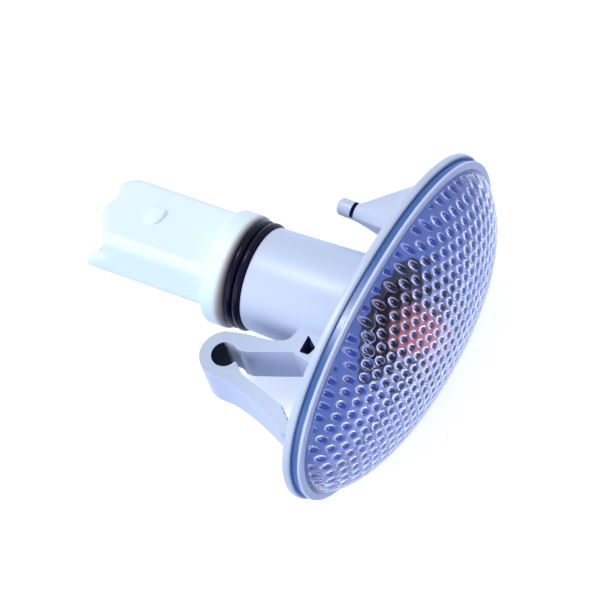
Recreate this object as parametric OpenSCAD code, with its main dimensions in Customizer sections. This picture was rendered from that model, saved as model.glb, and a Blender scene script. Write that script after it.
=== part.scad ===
// Side repeater lamp for a car wing.
// The lens faces -Y and the tube and connector point to +Y, behind the body panel.
// X runs along the oval, from the spring clip (-X) to the hooked prong (+X).
// The origin is the middle of the rim's back face, which seats on the panel.

/* [Rim] */
// Half of the rim's length
rim_half_l = 40; // [36:0.5:44]
// Half of the rim's width
rim_half_w = 24.4; // [22:0.2:27]
// Thickness of the rim plate
rim_t = 1.8; // [1.4:0.1:2.6]
// Fullness of the oval, where 2 is a true ellipse
oval_power = 2.15; // [2:0.05:2.4]

/* [Lens] */
// Height of the dome above its own base
dome_rise = 15.3; // [12:0.1:18]
// Fullness of the dome's section, where 2 is round
dome_fullness = 2.1; // [1.8:0.05:2.4]
// Wall of the lens
lens_wall = 1.9; // [1.4:0.1:2.4]
// Step from the rim's edge in to the lens skirt
skirt_step = 0.9; // [0.6:0.1:1.2]
// Height of the lens skirt, up to its bead
skirt_h = 1.4; // [1:0.1:2]
// Distance between neighbouring optic pillows
pillow_pitch = 2.565; // [2.4:0.005:3]
// Height of an optic pillow on the lens's inner face
pillow_h = 0.55; // [0.3:0.05:0.7]

/* [Tube] */
// Radius of the tube at the rim
tube_root_r = 11.9; // [11.5:0.1:12.5]
// Radius of the tube at its open end
tube_end_r = 10.9; // [10.6:0.1:11.4]
// Radius of the tube's bore
bore_r = 9.2; // [9:0.1:9.5]
// Length of the tube behind the rim
tube_l = 27; // [24:0.5:32]
// Sideways offset of the tube from the middle of the rim
tube_x = 1.1; // [0:0.1:2]
// Lean of the tube towards the clip, in degrees
tube_lean = 2.66; // [0:0.01:4]
// Thickness of the bayonet lip at the tube's end
lip_t = 1.6; // [1.2:0.1:2]

/* [Bulb holder] */
// Radius of the barrel that turns in the tube's lip
barrel_r = 8; // [7.6:0.1:8.3]
// Running clearance of the barrel in the lip
barrel_clearance = 0.06; // [0.03:0.01:0.09]
// Number of bayonet lugs
lug_count = 3; // [2:1:4]
// Angle that the holder is turned between release and lock
lock_turn = 45; // [30:1:50]
// Radius of the collar
collar_r = 12.1; // [11.6:0.1:12.8]
// Thickness of the collar
collar_t = 5; // [4:0.1:6]
// Turn of the connector about the tube axis when locked
holder_turn = 18; // [0:1:30]
// Width of the connector shroud
shroud_w = 19.5; // [18:0.1:21]
// Depth of the connector shroud
shroud_d = 11; // [10:0.1:12]
// Length of the connector shroud behind the collar
shroud_l = 27.7; // [24:0.1:32]
// Wall of the connector shroud
shroud_wall = 1.5; // [1.2:0.1:1.8]
// Corner radius of the connector shroud
shroud_corner = 2.2; // [1.8:0.1:3]
// Offset of the shroud towards its latch side
shroud_offset = 1.2; // [0:0.1:1.6]

/* [Sealing ring] */
// Thickness of the ring's section across the tube's end gap
ring_t = 3.6; // [3:0.1:4.5]
// Outer radius of the ring
ring_r = 11.5; // [11:0.1:12]
// Gap left on each side of the ring
ring_gap = 0.2; // [0.1:0.05:0.3]

/* [Spring clip] */
// Width of the clip along Z
clip_w = 10.6; // [8:0.1:12]
// Outer radius of the clip's eye
eye_r = 5.3; // [4.6:0.1:5.8]
// Radius of the hole in the eye
eye_hole_r = 2.75; // [2.2:0.05:3.2]
// Distance of the eye behind the rim
eye_y = 23.7; // [21:0.1:26]
// Thickness of the fixed leg
fixed_leg_t = 2; // [1.6:0.1:2.4]
// Thickness of the free leg at its root
free_leg_t = 2.4; // [1.8:0.1:2.8]
// Gap between the catch and the rim, for the body panel
panel_gap = 2.6; // [1.5:0.1:3.5]

/* [Prong] */
// Distance of the prong's nose behind the rim
nose_y = 19.4; // [17:0.1:22]
// Radius of the prong's nose
nose_r = 1.6; // [1.3:0.1:2]
// Width of the slot behind the nose
nose_w = 3.4; // [2.8:0.1:4]
// Width of the prong's base along Z
prong_base_w = 10; // [8:0.1:12]

/* [Terminals] */
// Distance between the two terminals
terminal_pitch = 6; // [5.4:0.1:6.4]
// Width of a terminal blade
blade_w = 2.2; // [2:0.1:2.8]
// Thickness of a terminal blade
blade_t = 0.8; // [0.6:0.05:1]
// Length of the blade that stands in the shroud
blade_l = 14; // [11:0.5:17]

/* [Bulb] */
// Radius of the bulb's glass
bulb_r = 5; // [4.8:0.1:5.2]
// Distance from the rim's back face to the bulb's tip
bulb_reach = 12; // [10:0.1:12.5]
// Length of the bulb from tip to wedge end
bulb_l = 26.8; // [25:0.1:28]
// Thickness of the bulb's wedge base
wedge_t = 2.4; // [2:0.1:2.8]
// Width of the bulb's wedge base
wedge_w = 9; // [8.4:0.1:9.6]
// Length of the bulb's wedge base
wedge_l = 8; // [7:0.1:9]

/* [Hidden] */

oval_steps = 72;

// Rim and dome, as fractions and offsets from the rim's outline
rim_edge = 0.5;
dome_inset = 1.5;
dome_base_y = -0.84;
dome_half_l = rim_half_l - dome_inset;
dome_half_w = rim_half_w - dome_inset;
skirt_top_y = -rim_t - skirt_h;
bead_h = 0.8;
bead_out = 0.3;
dome_foot_y = skirt_top_y - bead_h;
dome_foot_r = pow(1 - pow((dome_base_y - dome_foot_y) / dome_rise, dome_fullness), 0.5);
dome_rings = 9;
inner_rise = dome_rise - lens_wall;
pillow_edge_r = 0.93;

// Stations along the tube's axis, counted from the rim's back face
lip_s = tube_l - lip_t;
ring_s = tube_l + ring_gap;
collar_s = ring_s + ring_t + ring_gap;
shroud_s = collar_s + collar_t;
shroud_end_s = shroud_s + shroud_l;

// Gap between the ring's bore and the barrel
ring_bore_gap = 0.15;

// Bayonet
lip_r = barrel_r + barrel_clearance;
lug_reach = bore_r - 0.3;
notch_r = bore_r - 0.1;
lug_t = 1.6;
lug_axial_gap = 0.15;
lug_s = lip_s - lug_axial_gap - lug_t;
lug_angle = 34;
notch_angle = lug_angle + 5;

// Connector
socket_w = shroud_w - 2 * shroud_wall;
socket_d = shroud_d - 2 * shroud_wall;
socket_floor_t = 2;
collar_edge = 0.6;
socket_s = shroud_s + socket_floor_t;
// The shroud's mouth is cut back on its visible half along a broken line: shares of its width, and depths
mouth_y = 0.8;
mouth_line = [[-1, 4.2], [-0.5, 4.2], [-0.18, 0.8], [-0.08, 0.1], [0.11, 1.1], [0.24, 0.2], [0.32, 0],
              [0.46, 2.5], [1, 2.5]];
latch_s = shroud_s + 14.6;
latch_l = 5;
latch_w = 6;
latch_h = 1.3;

// Bulb and its seat
bulb_tip_s = -bulb_reach;
wedge_end_s = bulb_tip_s + bulb_l;
wedge_s = wedge_end_s - wedge_l;
glass_wall = 0.7;
glass_shoulder = 2;
neck_r = 0.46 * wedge_w;
lead_offset = 1.6;
lead_r = 0.25;
lead_hole_r = lead_r + 0.05;
lead_depth = 0.3;
filament_s = bulb_tip_s + bulb_r + 0.3;
filament_r = 0.3;
filament_l = 2 * lead_offset + 2 * lead_r;
cheek_s = wedge_s + 0.8;
seat_clearance = 0.1;
barrel_s = wedge_end_s + 1.4;
cheek_w = wedge_w + 3;
cheek_d = wedge_t + 2 * blade_t + 4;
leaf_w = 2;
leaf_s = cheek_s + 0.6;
leaf_y = wedge_t / 2 + seat_clearance;

// Feet of the tube, clip and prong: straight where they pass through the body panel
foot_h = 2.2;
tube_foot_out = 0.5;

// Clip: both legs run from the eye towards the rim
eye_x = -20.9;
nose_dx = 2.1;
nose_dy = -3.4;
fixed_root_x = -14.9;
fixed_root_y = 10.9;
foot_x = fixed_root_x - 1.7;
web_y = 9.9;
web_top_y = web_y + 2.8;
gusset_x = fixed_root_x + 6;
leg_back_x = fixed_root_x + fixed_leg_t;
shoulder_y = fixed_root_y + 5.6;
hollow_d = 2.1;
free_end_x = -30.6;
knee_x = -26.2;
knee_y = eye_y - 3.9;
shin_x = -27.9;
shin_y = knee_y - 6.6;
catch_step = 1.3;
catch_top_y = panel_gap + 2.2;
tooth_count = 3;
tooth_l = 0.8;
tooth_rise = 0.96;
tooth_x = free_end_x + 2.6;

// Prong
nose_x = 20.5;
nose_l = 2.6;
prong_x1 = 17.5;
prong_x2 = 33;
prong_root_y = 0.6;
prong_slot_l = 0.8;
prong_slot_d = 1.4;

// A point on an oval of half length a and half width b, at angle t
function bend(v) = sign(v) * pow(abs(v), 2 / oval_power);
function oval(a, b, t) = [a * bend(cos(t)), b * bend(sin(t))];

// The dome's height above its base, where r is 0 at the top and 1 at the foot
function dome(rise, r) = rise * pow(max(1 - r * r, 0), 1 / dome_fullness);

// A stack of ovals, each given as [half length, half width, y], closed by flat ends
module oval_stack(levels) {
    count = len(levels);
    points = [for (l = levels) for (i = [0:oval_steps - 1])
        let (p = oval(l[0], l[1], i * 360 / oval_steps)) [p[0], l[2], p[1]]];
    sides = [for (k = [0:count - 2]) for (i = [0:oval_steps - 1])
        let (j = (i + 1) % oval_steps, a = k * oval_steps, b = a + oval_steps)
            each [[a + i, b + j, a + j], [a + i, b + i, b + j]]];
    foot = [for (i = [0:oval_steps - 1]) i];
    top = [for (i = [oval_steps - 1:-1:0]) (count - 1) * oval_steps + i];
    polyhedron(points, concat(sides, [foot, top]), convexity = 4);
}

// Everything on the tube's axis is drawn with its z along that axis
module on_axis() {
    translate([tube_x, 0, 0]) rotate([0, 0, tube_lean]) rotate([-90, 0, 0]) children();
}

module in_holder() {
    on_axis() rotate([0, 0, holder_turn]) children();
}

module disc(s, l, r) {
    translate([0, 0, s]) cylinder(h = l, r = r, $fn = 96);
}

module rounded_bar(s, l, w, d, r) {
    translate([0, 0, s]) linear_extrude(l) {
        square([w - 2 * r, d], center = true);
        square([w, d - 2 * r], center = true);
        for (x = [-1, 1], y = [-1, 1])
            translate([x * (w / 2 - r), y * (d / 2 - r)]) circle(r, $fn = 48);
    }
}

// A wedge of a disc, used for the lugs and for the notches that they pass through
module sector(s, l, r, angle) {
    translate([0, 0, s]) linear_extrude(l)
        polygon([[0, 0], for (k = [-2:2]) 1.15 * r * [cos(k * angle / 4), sin(k * angle / 4)]]);
}

// The clear lens: a dome with a skirt, a bead and optic pillows on its inner face
module lens_outside() {
    a = rim_half_l - skirt_step;
    b = rim_half_w - skirt_step;
    oval_stack([
        [a, b, -rim_t],
        [a, b, skirt_top_y],
        [a + bead_out, b + bead_out, skirt_top_y - bead_h * 0.3],
        [a + bead_out, b + bead_out, skirt_top_y - bead_h * 0.7],
        [a, b, dome_foot_y],
        for (k = [0:dome_rings])
            let (r = dome_foot_r * cos(88 * k / dome_rings))
                [dome_half_l * r, dome_half_w * r, dome_base_y - dome(dome_rise, r)]
    ]);
}

// The pillows sit on a lattice of equal triangles whose rows run along Z.
// The inner face is drawn on a grid of a third of that pitch: a pillow has its top on one
// grid point, its shoulder on the six around it, and meets its neighbours at the rest.
function inner_r(x, z) =
    norm([x / (dome_half_l - lens_wall), z / (dome_half_w - lens_wall)]);
function pillow(q, s) = (q % 3 == 0 && s % 3 == 0) ? 1 : ((q - s) % 3 == 0) ? 0 : 0.72;
function inner_y(x, z, q, s) =
    let (r = inner_r(x, z))
        dome_base_y - dome(inner_rise, r) + (r < pillow_edge_r ? pillow_h * pillow(q, s) : 0);

module lens_inside() {
    step = pillow_pitch / 3;
    column = step * sqrt(3) / 2;
    q_max = ceil(dome_half_l / column);
    k_max = ceil(dome_half_w / step);
    rows = 2 * k_max + 1;
    columns = 2 * q_max + 1;
    top = [for (q = [-q_max:q_max]) for (k = [-k_max:k_max])
        let (x = q * column, odd = abs(q % 2), z = (k + odd / 2) * step + pillow_pitch / 2)
            [x, inner_y(x, z, q, k - floor(q / 2)), z]];
    count = len(top);
    low = [for (p = top) [p[0], rim_t, p[2]]];
    function id(c, k) = c * rows + k;
    caps = [for (c = [0:columns - 2]) for (k = [0:rows - 2])
        let (odd = abs((c - q_max) % 2), a = id(c, k), b = id(c, k + 1),
             d = id(c + 1, k), e = id(c + 1, k + 1))
            each (odd == 0 ? [[a, b, d], [d, b, e]] : [[a, e, d], [a, b, e]])];
    loop = concat([for (k = [0:rows - 1]) id(0, k)], [for (c = [1:columns - 1]) id(c, rows - 1)],
                  [for (k = [rows - 2:-1:0]) id(columns - 1, k)], [for (c = [columns - 2:-1:1]) id(c, 0)]);
    walls = [for (i = [0:len(loop) - 1])
        let (p = loop[i], n = loop[(i + 1) % len(loop)]) [p, p + count, n + count, n]];
    floor_face = [for (i = [len(loop) - 1:-1:0]) loop[i] + count];
    intersection() {
        polyhedron(concat(top, low), concat(caps, walls, [floor_face]), convexity = 10);
        oval_stack([
            [dome_half_l - lens_wall, dome_half_w - lens_wall, 1],
            [dome_half_l - lens_wall, dome_half_w - lens_wall, dome_base_y - dome_rise]
        ]);
    }
}

module lens() {
    color([0.55, 0.65, 0.95, 0.45])
        resize([2 * (rim_half_l - skirt_step + bead_out), 0, 0])
            difference() {
                lens_outside();
                lens_inside();
            }
}

// The grey moulding: rim plate, tube, spring clip and prong in one piece
module rim_plate() {
    e = rim_edge;
    oval_stack([
        [rim_half_l - e, rim_half_w - e, 0],
        [rim_half_l - 0.3 * e, rim_half_w - 0.3 * e, -0.4 * e],
        [rim_half_l, rim_half_w, -1.1 * e],
        [rim_half_l, rim_half_w, -rim_t + e],
        [rim_half_l - 0.3 * e, rim_half_w - 0.3 * e, -rim_t + 0.3 * e],
        [rim_half_l - e, rim_half_w - e, -rim_t]
    ]);
}

module tube_outside() {
    on_axis() {
        translate([0, 0, -rim_t / 2])
            cylinder(h = tube_l + rim_t / 2, r1 = tube_root_r, r2 = tube_end_r, $fn = 96);
    }
    translate([tube_x, -rim_t / 2, 0]) rotate([-90, 0, 0])
        cylinder(h = rim_t / 2 + foot_h, r = tube_root_r + tube_foot_out, $fn = 96);
}

module tube_inside() {
    on_axis() {
        disc(-3 * rim_t, 3 * rim_t + lip_s, bore_r);
        disc(lip_s - 1, lip_t + 2, lip_r);
        for (i = [0:lug_count - 1]) rotate([0, 0, holder_turn + lock_turn + i * 360 / lug_count])
            intersection() {
                sector(lip_s - 1, lip_t + 2, bore_r, notch_angle);
                disc(lip_s - 1, lip_t + 2, notch_r);
            }
    }
}

// A point of the clip, by its angle and its distance from the eye's middle as a share of the eye's radius
function on_eye(angle, share) = [eye_x, eye_y] + share * eye_r * [cos(angle), sin(angle)];

module fixed_leg() {
    polygon([
        [eye_x + nose_dx, eye_y + nose_dy], [fixed_root_x, fixed_root_y], [fixed_root_x - 0.3, web_y],
        [foot_x, foot_h], [foot_x, -rim_t / 2], [gusset_x, -rim_t / 2], [gusset_x, web_top_y],
        [leg_back_x + 1.8, web_top_y], [leg_back_x, web_top_y + 0.6], [leg_back_x - 1.5, shoulder_y],
        on_eye(-16, 1.15), on_eye(28, 0.98), on_eye(62, 0.96)
    ]);
}

module free_leg() {
    polygon([
        on_eye(186, 0.99), [knee_x, knee_y], [shin_x, shin_y],
        [free_end_x, catch_top_y + 1.6], [free_end_x - catch_step, catch_top_y],
        [free_end_x - catch_step, panel_gap + 0.8], [free_end_x - 0.3, panel_gap],
        [free_end_x + 1.1, panel_gap], [free_end_x + 1.9, catch_top_y],
        for (k = [0:tooth_count - 1]) let (x = tooth_x + k * tooth_l, y = catch_top_y + k * tooth_rise)
            each [[x, y + 0.2], [x, y + tooth_rise]],
        [shin_x + free_leg_t + 0.9, shin_y + 0.9], [eye_x - 2.4, eye_y - eye_r],
        [eye_x - 0.6, eye_y - eye_hole_r - 0.4], [eye_x, eye_y]
    ]);
}

// The slot leads from the eye's hole to the space between the legs
module eye_slot() {
    polygon([
        [eye_x - 0.7, eye_y - eye_hole_r + 0.4], [eye_x + nose_dx - 0.3, eye_y - eye_hole_r + 0.9],
        [eye_x + nose_dx, eye_y + nose_dy], [eye_x + nose_dx + 2, eye_y - eye_r - 1],
        [eye_x - 2.2, eye_y - eye_r - 0.1], [eye_x - 0.9, eye_y - eye_hole_r - 0.5]
    ]);
}

// The hollow lies between the gusset, the fixed leg and the tube
module gusset_hollow() {
    near_x = fixed_root_x + 0.3 * hollow_d;
    polygon([
        [fixed_root_x + 2.2 * hollow_d, web_y], [fixed_root_x + 1.2 * hollow_d, web_y - 1.3 * hollow_d],
        [near_x, web_y - hollow_d], [near_x, web_y - 0.1]
    ]);
}

module clip_profile() {
    difference() {
        union() {
            translate([eye_x, eye_y]) circle(eye_r, $fn = 72);
            fixed_leg();
            free_leg();
        }
        translate([eye_x, eye_y]) circle(eye_hole_r, $fn = 48);
        eye_slot();
        gusset_hollow();
    }
}

module clip() {
    translate([0, 0, -clip_w / 2]) linear_extrude(clip_w) clip_profile();
}

// A flat wedge on a straight foot, with a rounded nose and a slot behind it
module prong() {
    base_l = prong_x2 - prong_x1;
    difference() {
        union() {
            translate([prong_x1, -prong_root_y, -prong_base_w / 2])
                cube([base_l, prong_root_y + foot_h, prong_base_w]);
            hull() {
                translate([nose_x, nose_y - nose_l, 0]) rotate([-90, 0, 0])
                    cylinder(h = nose_l / 2, r = nose_r, $fn = 32);
                translate([prong_x1, foot_h - 0.2, -prong_base_w / 2])
                    cube([base_l, 0.2, prong_base_w]);
            }
            translate([nose_x, nose_y - nose_l, 0]) rotate([-90, 0, 0]) {
                cylinder(h = nose_l + nose_r * 0.6, r = nose_r, $fn = 32);
                cylinder(h = nose_l + nose_r, r = nose_r * 0.7, $fn = 32);
            }
        }
        translate([nose_x - nose_w / 2, nose_y - nose_l, nose_r - prong_slot_d])
            cube([nose_w, prong_slot_l, prong_slot_d + nose_r]);
    }
}

module housing() {
    color([0.78, 0.82, 0.92]) difference() {
        union() {
            rim_plate();
            tube_outside();
            clip();
            prong();
        }
        tube_inside();
    }
}

// Black rubber ring squeezed between the tube's end and the collar
module sealing_ring() {
    bead = ring_t / 4;
    web_l = ring_r - bead - barrel_r - ring_bore_gap;
    color([0.05, 0.05, 0.07]) on_axis() translate([0, 0, ring_s]) rotate_extrude($fn = 96) {
        translate([barrel_r + ring_bore_gap, 0]) square([web_l, ring_t]);
        for (k = [1, 3]) translate([ring_r - bead, k * bead]) circle(bead, $fn = 32);
    }
}

// White holder: socket for the bulb, bayonet barrel, collar and connector shroud
module holder_outside() {
    in_holder() {
        rounded_bar(cheek_s, barrel_s - cheek_s + 1, cheek_w, cheek_d, 0.8);
        disc(barrel_s, collar_s - barrel_s + 1, barrel_r);
        for (i = [0:lug_count - 1]) rotate([0, 0, i * 360 / lug_count])
            intersection() {
                sector(lug_s, lug_t, bore_r, lug_angle);
                disc(lug_s, lug_t, lug_reach);
            }
        disc(collar_s, collar_t, collar_r - collar_edge);
        disc(collar_s + collar_edge, collar_t - 2 * collar_edge, collar_r);
        translate([0, -shroud_offset, 0]) {
            rounded_bar(shroud_s - 1, shroud_l + 1, shroud_w, shroud_d, shroud_corner);
            latch();
        }
    }
}

module latch() {
    translate([0, -shroud_d / 2, latch_s]) rotate([0, -90, 0]) translate([0, 0, -latch_w / 2])
        linear_extrude(latch_w) polygon([[0, 1], [0, -latch_h], [1, -latch_h], [latch_l, 0], [latch_l, 1]]);
}

module holder_cuts() {
    in_holder() {
        // seat of the bulb's wedge
        seat_w = wedge_w + 2 * seat_clearance;
        seat_t = wedge_t + 2 * seat_clearance;
        translate([-seat_w / 2, -seat_t / 2, cheek_s - 1])
            cube([seat_w, seat_t, wedge_end_s + seat_clearance - cheek_s + 1]);
        // connector socket with its keyed mouth
        translate([0, -shroud_offset, 0]) {
            rounded_bar(socket_s, shroud_l, socket_w, socket_d, shroud_corner - shroud_wall / 2);
            translate([0, mouth_y, shroud_end_s]) rotate([90, 0, 0]) linear_extrude(shroud_d)
                polygon([for (p = mouth_line) [p[0] * shroud_w, -p[1]], [shroud_w, 1], [-shroud_w, 1]]);
        }
        for (side = [-1, 1]) terminal_shape(side, seat_clearance / 2);
    }
}

module bulb_holder() {
    color([0.93, 0.97, 0.98]) difference() {
        holder_outside();
        holder_cuts();
    }
}

// Tinned brass terminal: a blade in the shroud, a cranked neck and a leaf beside the bulb's wedge
module terminal_shape(side, gap) {
    x = side * terminal_pitch / 2;
    y = side * (leaf_y + blade_t / 2);
    crank_s = barrel_s + 2;
    translate([x - blade_w / 2 - gap, -blade_t / 2 - gap, crank_s])
        cube([blade_w + 2 * gap, blade_t + 2 * gap, socket_s + blade_l - crank_s]);
    translate([x - leaf_w / 2 - gap, y - blade_t / 2 - gap, leaf_s - gap])
        cube([leaf_w + 2 * gap, blade_t + 2 * gap, crank_s + blade_t - leaf_s + 2 * gap]);
    translate([x - leaf_w / 2 - gap, min(y, 0) - blade_t / 2 - gap, crank_s - gap])
        cube([leaf_w + 2 * gap, abs(y) + blade_t + 2 * gap, blade_t + 2 * gap]);
}

module terminal_left() {
    color([0.85, 0.82, 0.7]) in_holder() terminal_shape(-1, 0);
}

module terminal_right() {
    color([0.85, 0.82, 0.7]) in_holder() terminal_shape(1, 0);
}

// Amber wedge bulb: a blown envelope pressed flat at its base
module envelope(r, s1, s2) {
    translate([0, 0, s1 + r]) sphere(r, $fn = 64);
    disc(s1 + r, s2 - s1 - r, r);
}

module bulb_glass() {
    shoulder_s = wedge_s - glass_shoulder;
    color([0.95, 0.35, 0.1, 0.7]) in_holder() difference() {
        union() {
            envelope(bulb_r, bulb_tip_s, shoulder_s);
            translate([0, 0, shoulder_s])
                cylinder(h = glass_shoulder, r1 = bulb_r, r2 = neck_r, $fn = 64);
            translate([-wedge_w / 2, -wedge_t / 2, wedge_s - glass_wall])
                cube([wedge_w, wedge_t, wedge_l + glass_wall]);
        }
        envelope(bulb_r - glass_wall, bulb_tip_s + glass_wall, shoulder_s);
        for (side = [-1, 1]) translate([side * lead_offset, 0, shoulder_s - 1])
            cylinder(h = glass_shoulder + lead_depth + 1, r = lead_hole_r, $fn = 24);
    }
}

module bulb_leads() {
    lead_s = filament_s + filament_r;
    color([0.8, 0.8, 0.82]) in_holder() for (side = [-1, 1]) translate([side * lead_offset, 0, lead_s])
        cylinder(h = wedge_s + lead_depth - lead_s, r = lead_r, $fn = 24);
}

module bulb_filament() {
    color([0.6, 0.6, 0.6]) in_holder() translate([0, 0, filament_s]) rotate([0, 90, 0])
        cylinder(h = filament_l, r = filament_r, center = true, $fn = 24);
}

lens();
housing();
sealing_ring();
bulb_holder();
terminal_left();
terminal_right();
bulb_glass();
bulb_leads();
bulb_filament();
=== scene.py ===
"""Side repeater lamp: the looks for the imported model, in metres, in the model's own frame.
+Y points into the car, -Y out through the lens, X runs from the spring clip (-X) to the prong (+X)."""
import math

import bmesh
import bpy
import numpy as np
from mathutils import Matrix, Vector
from mathutils.geometry import tessellate_polygon


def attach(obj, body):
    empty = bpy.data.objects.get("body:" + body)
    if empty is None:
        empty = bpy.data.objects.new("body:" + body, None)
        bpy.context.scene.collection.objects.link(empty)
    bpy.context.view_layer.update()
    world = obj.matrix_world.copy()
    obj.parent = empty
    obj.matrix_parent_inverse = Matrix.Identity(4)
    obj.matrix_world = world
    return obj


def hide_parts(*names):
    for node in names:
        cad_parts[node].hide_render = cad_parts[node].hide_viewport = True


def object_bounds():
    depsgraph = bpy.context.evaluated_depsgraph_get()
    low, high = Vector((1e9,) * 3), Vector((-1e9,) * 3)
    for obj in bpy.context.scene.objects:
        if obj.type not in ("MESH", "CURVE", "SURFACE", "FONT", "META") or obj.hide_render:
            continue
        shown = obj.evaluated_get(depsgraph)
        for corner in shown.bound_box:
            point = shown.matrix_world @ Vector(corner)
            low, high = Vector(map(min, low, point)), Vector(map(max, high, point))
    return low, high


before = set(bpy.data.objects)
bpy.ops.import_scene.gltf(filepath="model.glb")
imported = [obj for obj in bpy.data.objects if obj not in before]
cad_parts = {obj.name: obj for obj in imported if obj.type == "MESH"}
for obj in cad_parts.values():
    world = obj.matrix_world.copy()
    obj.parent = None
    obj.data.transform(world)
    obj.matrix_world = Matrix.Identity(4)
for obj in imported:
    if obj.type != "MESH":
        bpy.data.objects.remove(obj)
cad_box = [list(corner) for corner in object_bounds()]

# ---------------------------------------------------------------- Studio
# The photograph was taken from above the clip's end of the lens, with a long lens, on a white ground.
# Its camera was worked out from the rim's oval, the dome's outline and the lattice of optic pillows.

toward_right = Vector((0.4807, -0.8562, -0.1894)).normalized()
toward_scene = Vector((0.3517, 0.3861, -0.8528)).normalized()
toward_up = -toward_scene.cross(toward_right).normalized()
MM = 0.001
PIXELS_PER_MM, PICTURE_PX, SENSOR, CAMERA_FAR = 4.957, 600, 36, 1250
MIDDLE_RIGHT, MIDDLE_UP = -80.0, 23.8  # the picture's middle, in pixels from the model's origin
camera_data = bpy.data.cameras.new("camera")
camera_data.sensor_width = SENSOR
camera_data.lens = PIXELS_PER_MM * CAMERA_FAR * SENSOR / PICTURE_PX
camera = bpy.data.objects.new("camera", camera_data)
bpy.context.scene.collection.objects.link(camera)
camera_place = MM * (-CAMERA_FAR * toward_scene
                     + (MIDDLE_RIGHT * toward_right + MIDDLE_UP * toward_up) / PIXELS_PER_MM)
camera.matrix_world = Matrix.Translation(camera_place) @ Matrix(
    (toward_right, toward_up, -toward_scene)).transposed().to_4x4()
bpy.context.scene.camera = camera
bpy.context.scene.view_settings.view_transform = "Standard"


class Socket:
    """One output of a material's nodes. Arithmetic on it adds Math nodes, so a mask is a formula."""

    def __init__(self, tree, out):
        self.tree, self.out = tree, out

    def node(self, kind, settings, sockets, give=0):
        """Adds a node, sets its settings, then its sockets' values or links, and gives one output."""
        made = self.tree.nodes.new(kind)
        for name, value in settings.items():
            setattr(made, name, value)
        for name, value in sockets.items():
            if isinstance(value, Socket):
                self.tree.links.new(value.out, made.inputs[name])
            else:
                made.inputs[name].default_value = value
        return Socket(self.tree, made.outputs[give])

    def maths(self, operation, *given):
        return self.node("ShaderNodeMath", {"operation": operation}, dict(enumerate(given)))

    def __add__(self, other):
        return self.maths("ADD", self, other)

    def __radd__(self, other):
        return self.maths("ADD", other, self)

    def __sub__(self, other):
        return self.maths("SUBTRACT", self, other)

    def __rsub__(self, other):
        return self.maths("SUBTRACT", other, self)

    def __mul__(self, other):
        return self.maths("MULTIPLY", self, other)

    def __rmul__(self, other):
        return self.maths("MULTIPLY", other, self)

    def wrap(self, half):
        """This value folded into the span from -half to half."""
        return self.maths("WRAP", self, half, -half)

    def step(self, low, high):
        """0 below low, 1 above high, and a smooth rise between them."""
        return self.node("ShaderNodeMapRange", {"interpolation_type": "SMOOTHSTEP"},
                         {"Value": self, "From Min": low, "From Max": high})

    def between(self, first, second):
        """The colour that this value mixes, from first at 0 to second at 1."""
        first, second = (c if isinstance(c, Socket) else (*c, 1) for c in (first, second))
        return self.node("ShaderNodeMix", {"data_type": "RGBA"}, {0: self, 6: first, 7: second}, 2)


def finish(name, **plain):
    """A new material: its Principled shader with plain values set, and a socket to write formulas from."""
    made = bpy.data.materials.new(name)
    made.use_nodes = True
    shader = made.node_tree.nodes["Principled BSDF"]
    for key, value in plain.items():
        shader.inputs[key.replace("_", " ")].default_value = value
    place = made.node_tree.nodes.new("ShaderNodeTexCoord")
    return made, shader, Socket(made.node_tree, place.outputs["Object"])


def feed(shader, **given):
    """Links formulas to the shader's own sockets."""
    for key, value in given.items():
        value.tree.links.new(value.out, shader.inputs[key.replace("_", " ")])


def noise(place, scale, detail=2):
    """Soft noise in the model's own space, where scale is in features per metre."""
    return place.node("ShaderNodeTexNoise", {}, {"Vector": place, "Scale": scale, "Detail": detail})


def bump(place, height, strength, distance):
    return place.node("ShaderNodeBump", {}, {"Height": height, "Strength": strength, "Distance": distance})


def in_mm(place, axes):
    """The named axes of a place in the model's own frame, in millimetres."""
    return [place.node("ShaderNodeSeparateXYZ", {}, {"Vector": place}, "XYZ".index(axis)) * 1000
            for axis in axes]


def viewers(tree):
    """Two sockets: 1 where the camera looks straight at something, and 1 where gloss or glass shows it."""
    paths = tree.nodes.new("ShaderNodeLightPath")
    camera_ray, glass_ray, gloss_ray = (Socket(tree, paths.outputs["Is %s Ray" % kind])
                                        for kind in ("Camera", "Transmission", "Glossy"))
    return camera_ray, glass_ray + gloss_ray


# The floor is a plain white sweep under the lamp, and it keeps the lamp's faint shadow. A soft lavender
# painted shade on it shows through the clip's gap. Gloss and glass see floor and world a cool pale blue.
FLOOR_Z, FLOOR_HALF = cad_box[0][2], 3
SHADE_X, SHADE_Y = -11.0, 23.2
floor_mesh = bpy.data.meshes.new("floor")
floor_mesh.from_pydata([(x * FLOOR_HALF, y * FLOOR_HALF, FLOOR_Z)
                        for x, y in ((-1, -1), (1, -1), (1, 1), (-1, 1))], [], [(0, 1, 2, 3)])
floor = bpy.data.objects.new("floor", floor_mesh)
bpy.context.scene.collection.objects.link(floor)
floor_paint, paint, place = finish("floor_white", Roughness=0.9)
camera_ray, sheen_ray = viewers(floor_paint.node_tree)
x, y = in_mm(place, "XY")
# lit is 0 in the painted shade under the clip and 1 on the open floor.
lit = ((x - SHADE_X) * (x - SHADE_X) + (y - SHADE_Y) * (y - SHADE_Y)).step(8, 120)
feed(paint, Base_Color=camera_ray.between(
    sheen_ray.between((0.30, 0.36, 0.50), (0.66, 0.72, 0.92)),
    lit.between((0.46, 0.51, 0.66), (0.92, 0.93, 0.95))),
    Emission_Color=camera_ray.between(
        sheen_ray.between((0, 0, 0), (0.40, 0.44, 0.56)),
        lit.between((0.44, 0.47, 0.56), (0.6, 0.6, 0.6))))
paint.inputs["Emission Strength"].default_value = 1
floor_mesh.materials.append(floor_paint)

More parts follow.
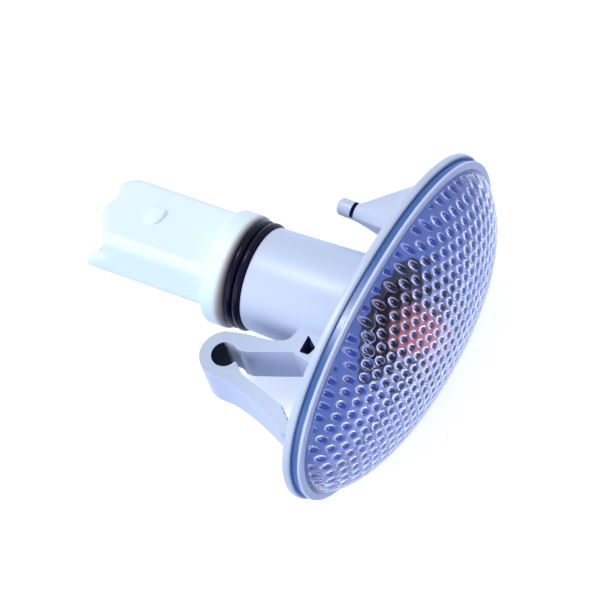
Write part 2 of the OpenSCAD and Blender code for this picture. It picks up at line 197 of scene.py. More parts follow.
world = bpy.data.worlds.new("studio")
bpy.context.scene.world = world
world.use_nodes = True
sky = world.node_tree.nodes["Background"]
camera_ray, sheen_ray = viewers(world.node_tree)
colour = camera_ray.between(sheen_ray.between((0.49, 0.54, 0.65), (0.84, 0.88, 1.0)), (1, 1, 1))
world.node_tree.links.new(colour.out, sky.inputs["Color"])
sky.inputs["Strength"].default_value = 1


def lamp(name, toward, distance, size, watts, tint):
    """A square soft box that looks at the lamp's middle from the given direction."""
    data = bpy.data.lights.new(name, "AREA")
    data.size, data.energy, data.color = size, watts, tint
    made = bpy.data.objects.new(name, data)
    toward = Vector(toward).normalized()
    made.location = Vector((0, 0.02, 0)) + toward * distance
    made.rotation_mode = "QUATERNION"
    made.rotation_quaternion = (-toward).to_track_quat("-Z", "Y")
    bpy.context.scene.collection.objects.link(made)


lamp("key", (0.09, 0.37, 0.92), 0.9, 0.4, 2.45, (1, 1, 0.97))
lamp("spark", (0.05, 0.32, 0.92), 0.9, 0.06, 1.1, (1, 1, 1))
lamp("low_fill", (-0.9, -0.25, 0.25), 0.9, 0.6, 2.2, (0.68, 0.80, 1))
lamp("fill", -0.3 * toward_scene - 1.0 * toward_right - 0.2 * toward_up, 0.9, 0.7, 2.4, (0.85, 0.92, 1))

# ---------------------------------------------------------------- Housing
# The housing is one grey moulding: rim plate, tube, hairpin spring clip and hooked prong.
# The rim's back face seats on the wing panel, and the clip and prong snap into its cut-out.

OVAL_POWER = 2.15
RIM_HALF_L, RIM_HALF_W, RIM_T = 40.0, 24.4, 1.8
TUBE_X, TUBE_LEAN, TUBE_END_S = 1.1, math.radians(2.66), 27.0
BORE_R, LIP_R = 9.2, 8.06


def oval(half_l, half_w, turn):
    """Points of a full oval in the XZ plane: half sizes times cos and sin of the turn, each raised to
    2 / power with its sign kept."""
    def bend(v):
        return np.sign(v) * np.abs(v) ** (2 / OVAL_POWER)
    return half_l * bend(np.cos(turn)), half_w * bend(np.sin(turn))


def on_tube(x, y, s):
    """Row-frame points for the tube's own frame: s runs along its leaning axis, x to +X and y to -Z."""
    x, y, s = np.broadcast_arrays(x, y, s)
    c, n = math.cos(TUBE_LEAN), math.sin(TUBE_LEAN)
    return np.stack([TUBE_X + x * c - s * n, x * n + s * c, -y], axis=-1)


def turned(profile, around=160):
    """A profile of (radius, s) pairs spun round the tube's axis: a row of points for each pair."""
    profile = np.asarray(profile, float)
    turn = np.linspace(0, 2 * np.pi, around, endpoint=False)
    return on_tube(profile[:, :1] * np.cos(turn), profile[:, :1] * np.sin(turn), profile[:, 1:])


def rounded(corners, steps=5):
    """A polygon of (x, y, radius) with each corner eased. A curve leaves one edge a radius before the corner
    and joins the next a radius after it: start (1-t)^2 + corner 2t(1-t) + end t^2."""
    corners = np.asarray(corners, float)
    here, ease = corners[:, :2], corners[:, 2:]
    before, after = np.roll(here, 1, axis=0) - here, np.roll(here, -1, axis=0) - here
    far_b, far_a = (np.linalg.norm(side, axis=1, keepdims=True) for side in (before, after))
    start = here + before / far_b * np.minimum(ease, far_b * 0.49)
    end = here + after / far_a * np.minimum(ease, far_a * 0.49)
    t = np.linspace(0, 1, steps)[None, :, None]
    curve = start[:, None] * (1 - t) ** 2 + 2 * here[:, None] * t * (1 - t) + end[:, None] * t ** 2
    curve = curve.reshape(-1, 2)
    return curve[np.linalg.norm(np.roll(curve, 1, axis=0) - curve, axis=1) > 1e-4]


def piece(name, place, faces, paint, body, flat):
    """A closed mesh from points in mm, its faces turned outwards, smooth but for edges over flat degrees."""
    mesh = bpy.data.meshes.new(name)
    mesh.from_pydata((place * MM).tolist(), [], faces)
    skin = bmesh.new()
    skin.from_mesh(mesh)
    bmesh.ops.recalc_face_normals(skin, faces=skin.faces)
    skin.to_mesh(mesh)
    skin.free()
    mesh.materials.append(paint)
    mesh.shade_smooth()
    mesh.set_sharp_from_angle(angle=math.radians(flat))
    made = bpy.data.objects.new(name, mesh)
    bpy.context.scene.collection.objects.link(made)
    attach(made, body)
    return made


def woven(name, points, paint, body, ring=False, poles=False, flat=40):
    """A closed skin over rows of points, each row a closed loop. With ring the last row joins the first;
    otherwise both end rows are shut, by a flat face, or by a point where poles is set."""
    rows, columns = points.shape[:2]
    place = points.reshape(-1, 3)
    i, j = np.meshgrid(np.arange(rows if ring else rows - 1), np.arange(columns), indexing="ij")
    up, on = (i + 1) % rows, (j + 1) % columns
    quads = np.stack([i * columns + j, i * columns + on, up * columns + on, up * columns + j], -1)
    faces = quads.reshape(-1, 4).tolist()
    first, last = list(range(columns)), [(rows - 1) * columns + k for k in range(columns)]
    if poles:
        low, high = len(place), len(place) + 1
        place = np.vstack([place, place[first].mean(0), place[last].mean(0)])
        faces += [(first[(k + 1) % columns], first[k], low) for k in range(columns)]
        faces += [(last[k], last[(k + 1) % columns], high) for k in range(columns)]
    elif not ring:
        faces += [first[::-1], last]
    return piece(name, place, faces, paint, body, flat)


def slab(name, loops, low, high, edge, paint, body):
    """Outlines in the XY plane, first the outer one and then its holes, carried straight from z low to high.
    Near both ends they are drawn in by edge, each point along its own normal, to ease the end faces' rims."""
    inward = []
    for outline in loops:
        along = np.roll(outline, -1, axis=0) - np.roll(outline, 1, axis=0)
        side = np.stack([-along[:, 1], along[:, 0]], -1)
        side = side / (np.linalg.norm(along, axis=1, keepdims=True) + 1e-9)
        on = np.roll(outline, -1, axis=0)
        area = np.sum(outline[:, 0] * on[:, 1] - outline[:, 1] * on[:, 0])
        inward.append(side * np.sign(area) * (-1 if inward else 1))
    flat_loops, inward = np.concatenate(loops), np.concatenate(inward)
    rows = [(flat_loops + inward * edge * (1 - math.sin(math.acos(1 - share))), edge * share)
            for share in (0, 0.35, 0.75, 1)]
    rows = [(ring, low + z) for ring, z in rows] + [(ring, high - z) for ring, z in reversed(rows)]
    place = np.concatenate([np.column_stack([ring, np.full(len(ring), z)]) for ring, z in rows])
    count, start, faces = len(flat_loops), 0, []
    for outline in loops:
        here = start + np.arange(len(outline))
        on = start + (np.arange(len(outline)) + 1) % len(outline)
        for k in range(len(rows) - 1):
            faces += (np.stack([here, on, on + count, here + count], -1) + k * count).tolist()
        start += len(outline)
    breaks = np.cumsum([0] + [len(outline) for outline in loops])
    ends = tessellate_polygon([[Vector((*point, 0)) for point in rows[0][0][a:b]]
                               for a, b in zip(breaks[:-1], breaks[1:])])
    faces += [list(end) for end in ends] + [[k + count * (len(rows) - 1) for k in end] for end in ends]
    made = piece(name, place, faces, paint, body, 60)
    smooth = np.arange(len(faces)) < len(faces) - 2 * len(ends)
    made.data.polygons.foreach_set("use_smooth", smooth)
    return made


# Moulded grey plastic: satin, with a fine spark-eroded grain and slow changes of gloss.
housing_paint, shader, place = finish("housing_grey", Specular_IOR_Level=0.5)
cloud = noise(place, 55, 3)
grain = noise(place, 2600)
feed(shader, Base_Color=cloud.step(0.3, 0.7).between((0.54, 0.60, 0.75), (0.58, 0.64, 0.79)),
     Roughness=0.24 + 0.1 * cloud + 0.04 * grain, Normal=bump(place, grain, 0.1, 0.00008))

# The rim plate's face under the lens is blue with the lens's own colour. It is painted dark towards +Z as
# painted shade and pale towards -Z as painted light, and painted nearly black out to about 13 mm round the
# bore as painted shade.
DARK_R2, CLEAR_R2 = 178, 196  # squares of the radii where the dark ends
shade_paint, shader, place = finish("housing_under_lens", Specular_IOR_Level=0.3)
cloud = noise(place, 55, 3)
x, z = in_mm(place, "XZ")
out = (x - TUBE_X) * (x - TUBE_X) + z * z
feed(shader, Base_Color=(out + 12 * cloud).step(DARK_R2, CLEAR_R2).between(
    (0.008, 0.008, 0.014), (z + 6 * cloud).step(-17, 3).between((0.74, 0.78, 0.98), (0.15, 0.24, 0.52))),
    Roughness=0.4 + 0.2 * cloud)

# The tube's bore is rough, and painted near black as painted shade in its depth.
bore_shade_paint, shader, place = finish("housing_bore", Specular_IOR_Level=0.0)
bore_shade_noise = noise(place, 240, 3)
feed(shader, Base_Color=bore_shade_noise.step(0.3, 0.7).between((0.006, 0.006, 0.012), (0.014, 0.014, 0.022)),
     Roughness=0.6 + 0.2 * bore_shade_noise)

turn = np.linspace(0, 2 * np.pi, 240, endpoint=False)
rim_section = []
for inset, y in ((0.9, 0), (0.45, 0), (0.18, -0.12), (0.03, -0.35), (0, -0.6), (0, -1.2), (0.03, -1.5),
                 (0.15, -1.7), (0.4, -1.8), (1.2, -1.8), (3.0, -1.8)):
    x, z = oval(RIM_HALF_L - inset, RIM_HALF_W - inset, turn)
    rim_section.append(np.stack([x, np.full_like(x, y), z], -1))
outer = rim_section[-1]
bore_x, bore_z = TUBE_X + BORE_R * np.cos(turn), BORE_R * np.sin(turn)
for share in (0.35, 0.7, 1.0):
    rim_section.append(np.stack([outer[:, 0] + (bore_x - outer[:, 0]) * share, np.full_like(turn, -RIM_T),
                                 outer[:, 2] + (bore_z - outer[:, 2]) * share], -1))
rim_section.append(np.stack([bore_x, np.full_like(turn, 0.0), bore_z], -1))
rim = woven("housing_rim", np.stack(rim_section), housing_paint, "lamp", ring=True)
rim.data.materials.append(shade_paint)
for face in rim.data.polygons:
    face.material_index = int(face.center.y < -1.79 * MM and face.normal.y < -0.9)
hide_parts("housing")

tube_profile = [(12.4, -0.3), (12.4, 1.9), (12.3, 2.15), (12.0, 2.2), (11.86, 2.25), (11.83, 2.5),
                (11.4, 13.5), (10.97, 26.4), (10.9, 26.8), (10.78, TUBE_END_S), (8.3, TUBE_END_S),
                (8.12, 26.9), (LIP_R, 26.7), (LIP_R, 25.4), (BORE_R, 25.4), (BORE_R, -1.75)]
tube = woven("housing_tube", turned(tube_profile, 200), housing_paint, "lamp", ring=True)
tube.data.materials.append(bore_shade_paint)
for face in tube.data.polygons:
    out = face.center - Vector((TUBE_X * MM - face.center.y * math.sin(TUBE_LEAN), face.center.y, 0))
    face.material_index = int(out.length < (BORE_R + 0.2) * MM)
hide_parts("housing")

EYE = np.array([-20.9, 23.7])
EYE_R, EYE_HOLE_R, CLIP_W = 5.3, 2.75, 10.6
HOLLOW_X, HOLLOW_Y = (-14.31, -10.2), (7.0, 9.95)  # a box round the gusset's hollow


def arc(centre, radius, start, end, steps):
    """Points on a circle from one angle to another, in degrees, each with no easing of its own."""
    t = np.radians(np.linspace(start, end, steps))
    return [(centre[0] + radius * c, centre[1] + radius * s, 0.0) for c, s in zip(np.cos(t), np.sin(t))]


# One hairpin strip: gusset on the rim and tube, fixed leg, eye, free leg and toothed tip. The gusset has a
# hollow.
clip_outline = rounded(
    [(-8.9, -0.8, 0.3), (-8.9, 12.7, 0.3), (-11.1, 12.7, 0.8), (-12.9, 13.3, 1.0), (-14.4, 16.5, 1.5),
     (-15.0, 22.0, 2.0)]
    + arc(EYE, EYE_R, 28, 183, 48)
    + [(-26.2, 19.8, 2.5), (-27.9, 13.2, 3.0), (-30.6, 6.4, 0.8), (-31.9, 4.8, 0.5), (-31.9, 3.4, 0.5),
       (-30.9, 2.6, 0.4), (-29.5, 2.6, 0.3), (-28.7, 4.8, 0.3), (-28.0, 5.0, 0.3), (-28.0, 5.8, 0.3),
       (-27.2, 6.0, 0.3), (-27.2, 6.7, 0.3), (-26.4, 6.9, 0.3), (-26.4, 7.7, 0.3), (-24.6, 14.1, 2.0),
       (-23.4, 18.4, 0.8), (-21.6, 20.5, 0.3)]
    + arc(EYE, EYE_HOLE_R, 257, -42, 64)
    + [(-18.8, 20.3, 0.5), (-14.9, 10.9, 0.4), (-15.2, 9.9, 0.4), (-16.6, 2.2, 0.5), (-16.6, -0.8, 0.3)])
hollow_outline = rounded([(-10.3, 9.9, 0.3), (-12.3, 7.2, 0.4), (-14.2, 7.8, 0.4), (-14.3, 9.8, 0.4)])
clip = slab("housing_clip", (clip_outline, hollow_outline), -CLIP_W / 2, CLIP_W / 2, 0.12, housing_paint,
            "lamp")

# The eye's wall is painted near black on one side as painted shade and pale on the other as painted light.
# The end faces are duller than the sides and painted darker towards the eye as painted shade, and the
# gusset's hollow is deep and painted dark as painted shade.
recess_paint, shader, place = finish("housing_recess", Specular_IOR_Level=0.1)
x, y = in_mm(place, "XY")
eye_shade_noise = noise(place, 260, 3)
# lit: painted light on the eye's wall, 0 in its painted shade and 1 on its lit side.
lit = (0.39 * (x - EYE[0]) - 0.92 * (y - EYE[1]) + 0.8 * eye_shade_noise).step(-0.3, 1.0)
feed(shader, Base_Color=lit.between((0.008, 0.008, 0.02), (0.72, 0.78, 0.92)), Roughness=0.5 + 0.3 * eye_shade_noise)
# The clip's end faces: painted shade, darker towards the eye than by the rim.
end_paint, shader, place = finish("housing_clip_end", Specular_IOR_Level=0.3)
end_shade_noise = noise(place, 90, 3)
y, = in_mm(place, "Y")
feed(shader, Base_Color=(y + 4 * end_shade_noise).step(9, 26).between((0.56, 0.61, 0.74), (0.46, 0.52, 0.64)),
     Roughness=0.4 + 0.15 * end_shade_noise)
# The gusset's hollow and the prong's slot are painted dark blue as painted shade.
slot_paint, shader, place = finish("housing_slot", Specular_IOR_Level=0.2)
slot_shade_noise = noise(place, 300)
feed(shader, Base_Color=slot_shade_noise.between((0.015, 0.025, 0.10), (0.05, 0.07, 0.20)), Roughness=0.5 + 0.3 * slot_shade_noise)
for extra in (recess_paint, end_paint, slot_paint):
    clip.data.materials.append(extra)
for face in clip.data.polygons:
    x, y = np.array(face.center[:2]) / MM
    wall = abs(face.normal.z) < 0.5
    if abs(face.normal.z) > 0.99:
        face.material_index = 2
    elif wall and math.hypot(x - EYE[0], y - EYE[1]) < EYE_HOLE_R + 0.03:
        face.material_index = 1
    elif wall and HOLLOW_X[0] < x < HOLLOW_X[1] and HOLLOW_Y[0] < y < HOLLOW_Y[1]:
        face.material_index = 3
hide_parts("housing")


def superbox(width, depth, corner, count=96):
    """A rounded rectangle in its own plane: a quarter circle at each corner, walked at even steps."""
    t = np.linspace(0, 2 * np.pi, 401)
    x = (width / 2 - corner) * np.sign(np.cos(t)) + corner * np.cos(t)
    y = (depth / 2 - corner) * np.sign(np.sin(t)) + corner * np.sin(t)
    walked = np.concatenate([[0], np.cumsum(np.hypot(np.diff(x), np.diff(y)))])
    stops = np.linspace(0, walked[-1], count, endpoint=False)
    return np.stack([np.interp(stops, walked, x), np.interp(stops, walked, y)], -1)


# The prong is a wedge on a straight foot: rings that go evenly from the foot's oblong to the nose's circle,
# then the nose, with a slot across its upper side.
NOSE_R, SLOT_FROM, SLOT_TO, SLOT_Z = 1.9, 16.8, 17.6, 0.9
FOOT_Y, NOSE_Y = 2.2, 16.7
nose = np.array([20.8, 0.5])
foot_ring = superbox(16.5, 10.0, 0.7) + np.array([25.75, 0.0])
nose_ring = superbox(2 * NOSE_R, 2 * NOSE_R, NOSE_R) + nose
prong_rows = [(foot_ring, -0.5)] + [
    (foot_ring + (nose_ring - foot_ring) * share, FOOT_Y + (NOSE_Y - FOOT_Y) * share)
    for share in np.linspace(0, 0.98, 12)]
slotted = nose_ring.copy()
slotted[:, 1] = np.minimum(slotted[:, 1], SLOT_Z)
prong_rows += [(nose_ring, SLOT_FROM - 0.02), (slotted, SLOT_FROM), (slotted, SLOT_TO),
               (nose_ring, SLOT_TO + 0.02)]
prong_rows += [(nose_ring + (nose - nose_ring) * (1 - math.cos(t)), 20.2 + 1.1 * math.sin(t))
               for t in np.radians((0, 15, 30, 45, 60, 75))]
prong_rows = [np.column_stack([ring[:, 0], np.full(len(ring), y), ring[:, 1]]) for ring, y in prong_rows]
prong = woven("housing_prong", np.stack(prong_rows), housing_paint, "lamp", flat=50)
# The slot's floor is painted dark blue as painted shade.
prong.data.materials.append(slot_paint)
for face in prong.data.polygons:
    in_slot = (SLOT_FROM - 0.03) * MM < face.center.y < (SLOT_TO + 0.03) * MM
    face.material_index = int(in_slot and face.center.z > (SLOT_Z - 0.01) * MM)
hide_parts("housing")

# ---------------------------------------------------------------- Lens
# The lens is a clear dome with a pale blue cast, moulded with a skirt and welded to the rim.
# Its outer face is smooth, and its inner face carries a lattice of round optic pillows.

DOME_HALF_L, DOME_HALF_W, DOME_BASE_Y = 38.5, 22.9, -0.84
DOME_RISE, DOME_FULLNESS, LENS_WALL = 15.3, 2.1, 1.9
PILLOW_PITCH, PILLOW_R, PILLOW_BALL_R = 2.565, 0.95, 1.0
PILLOW_COLUMN, PILLOW_REACH = PILLOW_PITCH * math.sqrt(3) / 2, 0.978
LENS_AROUND, DOME_ROWS, INNER_ROWS = 560, 34, 124


def dome(rise, r):
    """Height of the dome at r, 0 at its top and 1 at its foot: rise * (1 - r^2) ^ (1 / fullness)."""
    return rise * np.maximum(1 - r * r, 0) ** (1 / DOME_FULLNESS)


def pillows(x, z):
    """Height of the optic pillows over each point of a lattice of equal triangles whose rows run along Z.
    Each is a cap of a ball: sqrt(ball^2 - d^2) less its value at the pillow's edge, where d is the distance
    to the nearest point of the lattice."""
    near = np.full(x.shape, 9.0)
    for k in (-1, 0, 1):
        n = np.round(x / PILLOW_COLUMN) + k
        shift = np.where(n % 2 == 0, 0.5, 0.0) * PILLOW_PITCH
        m = np.round((z - shift) / PILLOW_PITCH)
        near = np.minimum(near, np.hypot(x - n * PILLOW_COLUMN, z - shift - m * PILLOW_PITCH))
    edge = math.sqrt(PILLOW_BALL_R ** 2 - PILLOW_R ** 2)
    return np.sqrt(PILLOW_BALL_R ** 2 - np.minimum(near, PILLOW_R) ** 2) - edge


turn = np.linspace(0, 2 * np.pi, LENS_AROUND, endpoint=False)
lens_rows, pillow_share = [], []
skirt_l, skirt_w = RIM_HALF_L - 0.9, RIM_HALF_W - 0.9
foot_r = math.sqrt(1 - ((4.0 + DOME_BASE_Y) / DOME_RISE) ** DOME_FULLNESS)
for r in np.sin(np.radians(np.linspace(1.5, 90, DOME_ROWS))) * foot_r:
    x, z = oval(DOME_HALF_L * r, DOME_HALF_W * r, turn)
    lens_rows.append(np.stack([x, np.full_like(x, DOME_BASE_Y - dome(DOME_RISE, r)), z], -1))
skirt = ((0, -4.05), (0.22, -3.95), (0.3, -3.75), (0.3, -3.5), (0.22, -3.3), (0, -3.2), (0, -2.6), (0, -1.82))
for out, y in skirt:
    x, z = oval(skirt_l + out, skirt_w + out, turn)
    lens_rows.append(np.stack([x, np.full_like(x, y), z], -1))
inner_l, inner_w = DOME_HALF_L - LENS_WALL, DOME_HALF_W - LENS_WALL
for y in (-1.82, -2.2):
    x, z = oval(inner_l, inner_w, turn)
    lens_rows.append(np.stack([x, np.full_like(x, y), z], -1))
inner_top_r = math.sqrt(1 - ((2.4 + DOME_BASE_Y) / (DOME_RISE - LENS_WALL)) ** DOME_FULLNESS)
for r in np.linspace(inner_top_r, 0.006, INNER_ROWS):
    x, z = oval(inner_l * r, inner_w * r, turn)
    plain = DOME_BASE_Y - dome(DOME_RISE - LENS_WALL, r)
    bulge = np.clip((PILLOW_REACH - r) / 0.01, 0, 1) * pillows(x, z)
    lens_rows.append(np.stack([x, plain + bulge, z], -1))
    pillow_share.append(np.clip(bulge / 0.25, 0, 1))

# Clear plastic, blue where it is thick in a pillow. Each pillow has a painted highlight in a pale crescent by
# its steep edge towards +Z and a painted highlight dot on its top: both are a faint painted glow, placed by
# folding X and Z into the same lattice.
lens_paint, shader, place = finish("lens_clear", IOR=1.49, Transmission_Weight=1.0,
                                   Specular_Tint=(0.25, 0.27, 0.35, 1))
haze = noise(place, 90)
bulge = place.node("ShaderNodeAttribute", {"attribute_name": "pillow"}, {}, 2)
x, z = in_mm(place, "XZ")
even_x, even_z = x.wrap(PILLOW_COLUMN), (z - PILLOW_PITCH / 2).wrap(PILLOW_PITCH / 2)
odd_x, odd_z = (x - PILLOW_COLUMN).wrap(PILLOW_COLUMN), z.wrap(PILLOW_PITCH / 2)
even_nearer = (odd_x * odd_x + odd_z * odd_z - even_x * even_x - even_z * even_z).step(-0.001, 0.001)
x = odd_x + (even_x - odd_x) * even_nearer
z = odd_z + (even_z - odd_z) * even_nearer
disc = 1 - (x * x + z * z).step(0.62, 0.88)
off_shade = ((x - 0.08) * (x - 0.08) + (z + 0.30) * (z + 0.30)).step(0.26, 0.56)
dot = 1 - (x * x + z * z).step(0.01, 0.05)
glint = bulge.step(0.0, 0.2) * (disc * off_shade + dot)
feed(shader, Base_Color=bulge.between((0.96, 0.97, 1.00), (0.08, 0.13, 0.48)), Roughness=0.01 + 0.03 * haze,
     Emission_Color=glint.between((0, 0, 0), (0.23, 0.23, 0.38)))
shader.inputs["Emission Strength"].default_value = 1
paths = lens_paint.node_tree.nodes.new("ShaderNodeLightPath")
through = lens_paint.node_tree.nodes.new("ShaderNodeBsdfTransparent")
through.inputs["Color"].default_value = (0.90, 0.93, 1.0, 1)
mixed = lens_paint.node_tree.nodes.new("ShaderNodeMixShader")
surface = lens_paint.node_tree.nodes["Material Output"].inputs["Surface"]
for source, target in ((paths.outputs["Is Shadow Ray"], mixed.inputs[0]),
                       (shader.outputs[0], mixed.inputs[1]), (through.outputs[0], mixed.inputs[2]),
                       (mixed.outputs[0], surface)):
    lens_paint.node_tree.links.new(source, target)
lens = woven("lens_dome", np.stack(lens_rows), lens_paint, "lamp", poles=True, flat=35)

# The skirt is welded all round. Its outer face is painted dull dark blue as painted shade, for the dark
# inside seen through it, under a pale bead that is a painted highlight.
skirt_painted_light, shader, place = finish("lens_skirt_painted_light", Specular_IOR_Level=0.5)
up, = in_mm(place, "Y")
skirt_noise = noise(place, 300)
feed(shader, Base_Color=(up + 0.3 * skirt_noise).step(-3.35, -2.95).between((0.62, 0.66, 0.88), (0.05, 0.14, 0.38)),
     Roughness=0.12 + 0.2 * skirt_noise)
lens.data.materials.append(skirt_painted_light)
skirt_faces = np.zeros(len(lens.data.polygons), int)
skirt_faces[(DOME_ROWS - 2) * LENS_AROUND:(DOME_ROWS + len(skirt) - 1) * LENS_AROUND] = 1
lens.data.polygons.foreach_set("material_index", skirt_faces)
share = np.zeros(len(lens.data.vertices))
share[-2 - LENS_AROUND * INNER_ROWS:-2] = np.concatenate(pillow_share)
lens.data.attributes.new("pillow", "FLOAT", "POINT").data.foreach_set("value", share)
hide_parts("lens")

# ---------------------------------------------------------------- Bulb
# A standard amber wedge bulb: blown glass pressed flat at its base, two support wires and a coil.
# It is pushed into the holder's socket and reaches into the dome.

HOLDER_TURN = math.radians(18)


def in_holder(x, y, s):
    """Row-frame points for the holder's own frame, which is the tube's, turned about the tube's axis."""
    c, n = math.cos(HOLDER_TURN), math.sin(HOLDER_TURN)
    return on_tube(np.asarray(x) * c - np.asarray(y) * n, np.asarray(x) * n + np.asarray(y) * c, s)


def spun(profile, around=96):
    """A profile of (radius, s) pairs spun round the holder's axis."""
    profile = np.asarray(profile, float)
    turn = np.linspace(0, 2 * np.pi, around, endpoint=False)
    return in_holder(profile[:, :1] * np.cos(turn), profile[:, :1] * np.sin(turn), profile[:, 1:])


# The amber glass has a faint painted glow, and is painted dark where it goes down into the socket, as painted
# shade.
BULB_R, BULB_TIP_S, WEDGE_W, WEDGE_T = 5.0, -12.0, 9.0, 2.4
bulb_paint, shader, place = finish("bulb_amber", IOR=1.45, Transmission_Weight=0.55)
coat = noise(place, 160)
depth, = in_mm(place, "Y")
amber = coat.step(0.3, 0.7).between((0.97, 0.30, 0.28), (1.00, 0.42, 0.38))
buried = (depth + 1.5 * coat).step(-5.0, -1.5)
feed(shader, Base_Color=buried.between(amber, (0.05, 0.012, 0.02)), Roughness=0.04 + 0.06 * coat,
     Emission_Color=buried.between((0.11, 0.02, 0.02), (0, 0, 0)))
shader.inputs["Emission Strength"].default_value = 1
half_turn = np.radians(np.linspace(3, 90, 16))
bulb_rows = [spun([(BULB_R * math.sin(t), BULB_TIP_S + BULB_R - BULB_R * math.cos(t)) for t in half_turn]
                  + [(BULB_R, 0.0), (BULB_R, 3.6), (4.85, 4.8)])]
round_turn = np.linspace(0, 2 * np.pi, 96, endpoint=False)
wedge_x = WEDGE_W / 2 * np.sign(np.cos(round_turn)) * np.abs(np.cos(round_turn)) ** 0.5
wedge_y = WEDGE_T / 2 * np.sign(np.sin(round_turn)) * np.abs(np.sin(round_turn)) ** 0.35
for s, round_r, share in ((5.8, 4.6, 0.35), (6.6, 4.5, 0.8), (7.2, 4.5, 1.0), (14.4, 4.5, 1.0),
                          (14.8, 4.3, 1.0)):
    x = round_r * np.cos(round_turn) * (1 - share) + wedge_x * share
    y = round_r * np.sin(round_turn) * (1 - share) + wedge_y * share
    bulb_rows.append(in_holder(x, y, s)[None])
bulb = woven("bulb_envelope", np.concatenate(bulb_rows), bulb_paint, "holder", poles=True)
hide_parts("bulb_glass")


def wire(name, path, radius, paint, node, sides=12):
    """A round wire along a path of row-frame points in mm: at each point a circle square to the path, its
    first axis the path's direction crossed with a fixed one."""
    path = np.asarray(path, float)
    along = np.gradient(path, axis=0)
    along /= np.linalg.norm(along, axis=1, keepdims=True)
    across = np.cross(along, np.array([0.12, 0.05, 1.0]))
    across /= np.linalg.norm(across, axis=1, keepdims=True)
    third = np.cross(along, across)
    t = np.linspace(0, 2 * np.pi, sides, endpoint=False)[None, :, None]
    points = path[:, None] + radius * (np.cos(t) * across[:, None] + np.sin(t) * third[:, None])
    made = woven(name, points, paint, "holder", flat=50)
    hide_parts(node)
    return made


COIL_R, COIL_TURNS, COIL_S = 0.3, 13, -6.7
wire_paint, shader, place = finish("bulb_wire", Base_Color=(0.62, 0.62, 0.66, 1), Metallic=1.0)
feed(shader, Roughness=0.22 + 0.2 * noise(place, 900))
for side, name in ((-1, "bulb_lead_left"), (1, "bulb_lead_right")):
    s = np.linspace(-6.4, 6.5, 24)
    lean = 1.6 + 0.25 * np.exp(-((s + 6.4) / 1.2) ** 2)
    wire(name, in_holder(side * lean, 0 * s, s), 0.25, wire_paint, "bulb_leads")
t = np.linspace(0, 1, 260)
wound = 2 * np.pi * COIL_TURNS * t
wire("bulb_coil", in_holder(-1.75 + 3.5 * t, COIL_R * np.sin(wound), COIL_S + COIL_R * np.cos(wound)),
     0.07, wire_paint, "bulb_filament", sides=8)

# ---------------------------------------------------------------- Terminals
# Two stamped contacts of tinned brass, pushed through the holder from its bulb end.
# Each presses on a bulb wire beside the wedge and stands as a blade in the connector.

terminal_paint, shader, place = finish("terminal_metal", Metallic=1.0)
streak = noise(place, 700, 3)
feed(shader, Base_Color=streak.step(0.35, 0.75).between((0.78, 0.75, 0.66), (0.86, 0.80, 0.60)),
     Roughness=0.24 + 0.25 * streak, Normal=bump(place, streak, 0.15, 0.00005))
for name in ("terminal_left", "terminal_right"):
    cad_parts[name].data.materials.clear()
    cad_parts[name].data.materials.append(terminal_paint)

# ---------------------------------------------------------------- Bulb holder
# The white holder is one moulding: bulb socket, bayonet barrel, thick collar and connector shroud. It is
# pushed into the tube and locked by an eighth of a turn. Its lugs stay out of sight in the tube, so only
# the CAD has them. The collar is brownish in a band where it meets the ring.

holder_paint, shader, place = finish("holder_white", Specular_IOR_Level=0.45)
cloud = noise(place, 60, 3)
grain = noise(place, 2200)
along, = in_mm(place, "Y")
white = cloud.step(0.3, 0.7).between((0.82, 0.93, 0.92), (0.85, 0.95, 0.94))
collar_band = (along + 0.8 * cloud).step(30.6, 30.9) * (1 - (along + 0.8 * cloud).step(31.2, 32.9))
feed(shader, Base_Color=collar_band.between(white, (0.38, 0.30, 0.28)),
     Roughness=0.36 + 0.12 * cloud + 0.05 * grain, Normal=bump(place, grain, 0.12, 0.00008))

SHROUD_FOOT_S, SHROUD_END_S, SOCKET_FLOOR_S = 35.5, 63.7, 38.0
SHROUD_W, SHROUD_D, SHROUD_WALL, SHROUD_SHIFT = 19.5, 11.0, 1.5, 1.2
collar_profile = [(8.0, 16.2), (8.0, 31.0), (11.3, 31.0), (11.75, 31.15), (12.0, 31.5), (12.1, 32.0),
                  (12.1, 35.0), (12.0, 35.5), (11.7, 35.85), (11.2, 36.0), (6.5, 36.0), (6.5, 33.0),
                  (3.0, 33.0)]
collar = woven("holder_collar", spun(collar_profile, 180), holder_paint, "holder", flat=50)
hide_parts("bulb_holder")


def mouth(x, y):
    """How far the shroud's mouth is cut back at a point of its outline: a broken line along its visible wall,
    which fades out half way down its narrow sides."""
    line = np.interp(x, [-9.75, -3.5, -1.5, 2.1, 4.7, 6.2, 9.0, 9.75],
                     [4.2, 0.8, 0.1, 1.1, 0.2, 0.0, 2.5, 2.5])
    return line * np.clip((2.4 - y) / 2.6, 0, 1)


outer_ring = superbox(SHROUD_W, SHROUD_D, 2.2, 160)
inner_ring = superbox(SHROUD_W - 2 * SHROUD_WALL, SHROUD_D - 2 * SHROUD_WALL, 1.45, 160)
cut = mouth(outer_ring[:, 0], outer_ring[:, 1])
shroud_rings = [(outer_ring, SHROUD_FOOT_S + (SHROUD_END_S - 0.35 - cut - SHROUD_FOOT_S) * share)
                for share in np.linspace(0, 1, 12)]
for wall, draw, back in ((outer_ring, 0.1, 0.1), (outer_ring, 0.35, 0.0), (inner_ring, -0.3, 0.0),
                         (inner_ring, -0.05, 0.1), (inner_ring, 0, 0.35)):
    drawn = wall * (1 - draw / np.array([SHROUD_W / 2, SHROUD_D / 2]))
    shroud_rings.append((drawn, SHROUD_END_S - back - cut))
shroud_rings += [(inner_ring, SOCKET_FLOOR_S + 0.4), (inner_ring * 0.95, SOCKET_FLOOR_S)]
shroud_rows = [in_holder(ring[:, 0], ring[:, 1] - SHROUD_SHIFT, s) for ring, s in shroud_rings]
shroud = woven("holder_shroud", np.stack(shroud_rows), holder_paint, "holder", flat=45)
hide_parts("bulb_holder")

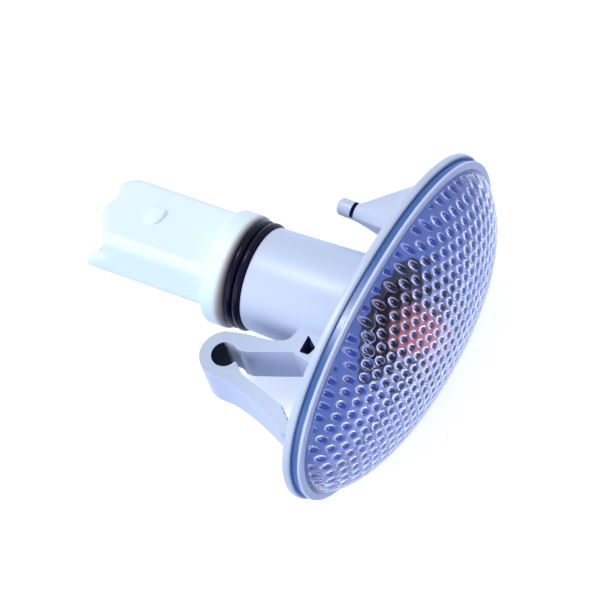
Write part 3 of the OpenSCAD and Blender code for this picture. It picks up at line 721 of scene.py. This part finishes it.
# The latch on the shroud is a low ramp with soft ends.
LATCH_S = 50.6
latch_outline = rounded([(0, 0.5, 0.1), (0, -0.75, 0.9), (1.4, -0.75, 1.0), (5, 0.1, 0.9), (5, 0.5, 0.1)], 7)
latch_middle = latch_outline.mean(0)
latch_rows = []
for x, draw in ((-2.7, 1.7), (-2.3, 1.1), (-1.7, 0.55), (-1.0, 0.2), (-0.2, 0), (1.6, 0), (2.1, 0.1),
                (2.5, 0.35), (2.7, 0.9)):
    ring = latch_middle + (latch_outline - latch_middle) * (1 - draw / 2)
    latch_rows.append(in_holder(x, ring[:, 1] - SHROUD_D / 2 - SHROUD_SHIFT, LATCH_S + ring[:, 0]))
latch = woven("holder_latch", np.stack(latch_rows), holder_paint, "holder", flat=50)
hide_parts("bulb_holder")

# The bulb socket's cheeks are one block round the wedge, out of sight in the bore.
cheek_ring = superbox(12.0, 8.0, 0.8)
cheek_rows = [in_holder(cheek_ring[:, 0] * share, cheek_ring[:, 1] * share, s)
              for share, s in ((0.96, 7.6), (1.0, 7.9), (1.0, 16.8))]
cheek = woven("holder_cheeks", np.stack(cheek_rows), holder_paint, "holder", flat=50)
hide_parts("bulb_holder")

# ---------------------------------------------------------------- Sealing ring
# A ribbed ring of black rubber on the barrel, greased, squeezed between tube and collar.

rubber_paint, shader, place = finish("rubber_black", Base_Color=(0.003, 0.003, 0.016, 1),
                                     Specular_IOR_Level=0.04, Coat_Weight=0.22, Coat_Roughness=0.05)
smear = noise(place, 300, 3)
feed(shader, Roughness=0.12 + 0.16 * smear, Normal=bump(place, smear, 0.1, 0.0001))
BEAD_R, BEAD_OUT = 0.9, 10.6
ring_profile = [(8.15, 27.2), (10.4, 27.2)]
for middle in (28.1, 29.9):
    for t in np.radians(np.linspace(-80, 80, 13)):
        ring_profile.append((BEAD_OUT + BEAD_R * math.cos(t), middle + BEAD_R * math.sin(t)))
ring_profile += [(10.4, 30.8), (8.15, 30.8)]
seal = woven("sealing_rings", turned(ring_profile, 180), rubber_paint, "holder", ring=True)
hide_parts("sealing_ring")
